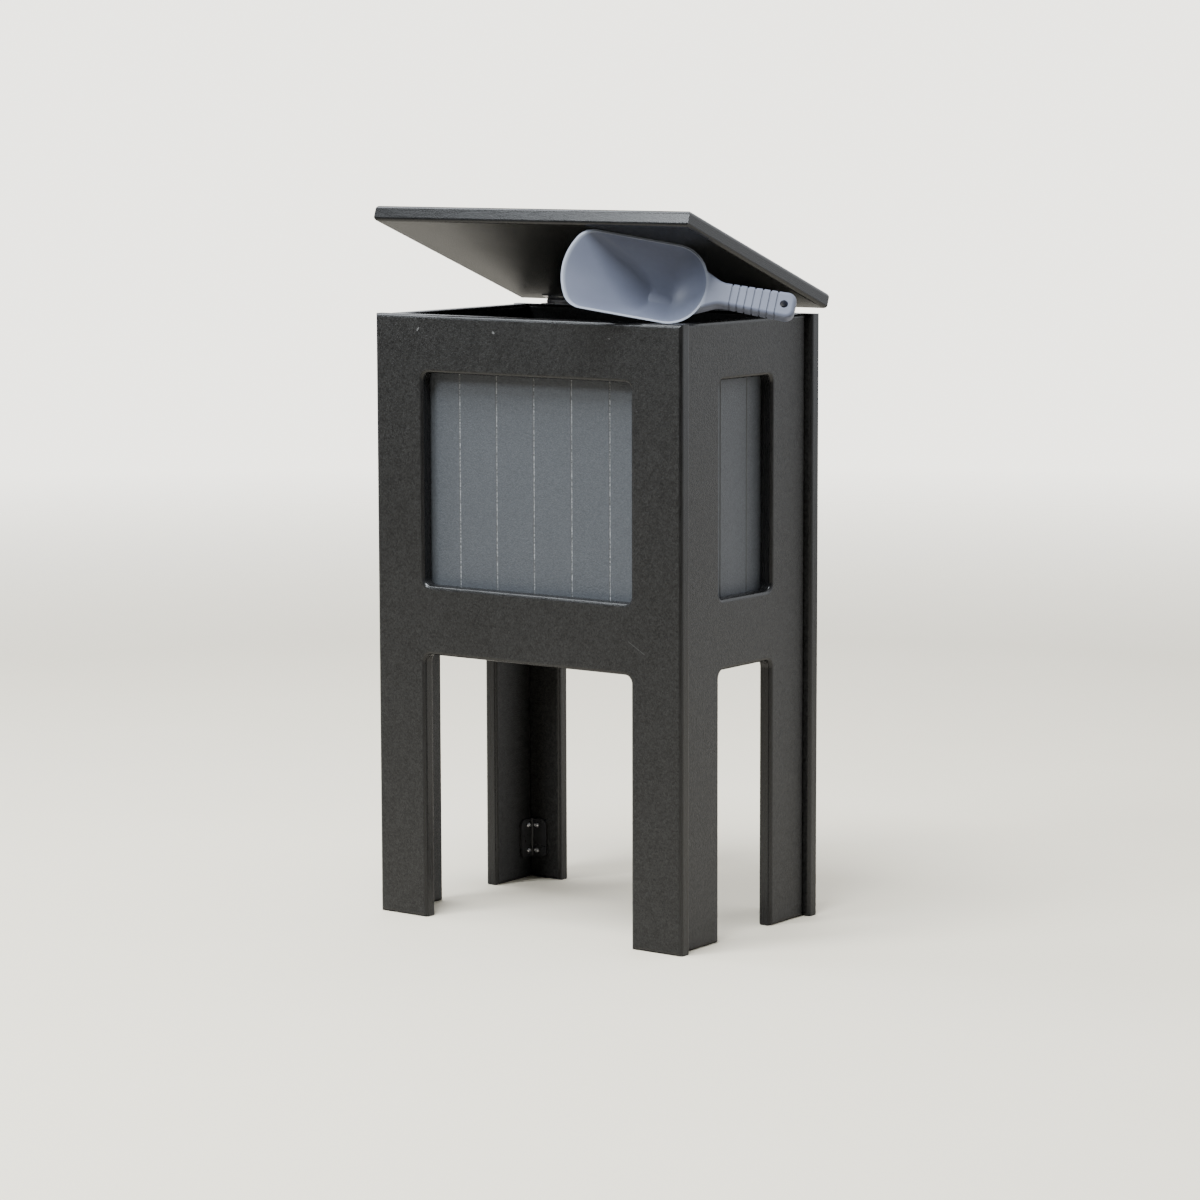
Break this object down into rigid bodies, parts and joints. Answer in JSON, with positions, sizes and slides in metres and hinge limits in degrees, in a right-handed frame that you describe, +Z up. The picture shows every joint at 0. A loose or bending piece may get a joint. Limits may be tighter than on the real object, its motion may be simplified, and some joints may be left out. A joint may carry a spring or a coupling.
{
  "type": "divot mix box",
  "caption": "Free-standing box on legs with grooved window panels, a hinged lid propped open by a loose scoop, and a hopper for turf repair mix.",
  "frame": {"origin": "on the ground below the middle of the box, half way between its side faces and between its front and back faces", "axes": "+Z up, front towards -Y, +X to the right of someone facing the front"},
  "size_m": [0.5573, 0.3538, 0.895],
  "materials": {
    "black_board": "black solid-plastic board with a fine pebble grain",
    "grey_board": "slate grey solid-plastic board with cut grooves",
    "black_bracket": "black coated angle bracket",
    "steel": "plain stainless hinge and screws",
    "scoop_plastic": "light blue-grey moulded plastic"
  },
  "bodies": {
    "box": {"front_panel": "black_board", "right_panel": "black_board", "back_panel": "black_board", "left_panel": "black_board", "front_insert": "grey_board", "front_cleat": "black_board", "right_insert": "grey_board", "right_cleat": "black_board", "back_insert": "grey_board", "back_cleat": "black_board", "left_insert": "grey_board", "left_cleat": "black_board", "floor_panel": "black_board", "leg_bracket_front_left": "black_bracket", "rim_bracket_front_left": "black_bracket", "leg_bracket_front_right": "black_bracket", "rim_bracket_front_right": "black_bracket", "leg_bracket_back_right": "black_bracket", "rim_bracket_back_right": "black_bracket", "leg_bracket_back_left": "black_bracket", "rim_bracket_back_left": "black_bracket", "hinge_lower_leaf": "steel", "hinge_pin": "steel", "hinge_lower_screws": "steel", "insert_screws": "steel", "cleat_screws": "steel", "floor_screws": "steel", "leg_bracket_screws": "steel", "rim_bracket_screws": "steel"},
    "lid": {"lid": "black_board", "hinge_upper_leaf": "steel", "hinge_upper_screws": "steel"},
    "scoop": {"scoop": "scoop_plastic"}
  },
  "joints": [
    {"name": "lid_hinge", "type": "hinge", "parent": "box", "child": "lid", "pos_m": [0, 0.151, 0.7655], "axis": [-1, 0, 0], "range_deg": [0, 108]},
    {"name": "scoop_lift", "type": "slide", "parent": "box", "child": "scoop", "axis": [0, -0.9426, 0.3338], "range_m": [0, 0.28]}
  ]
}
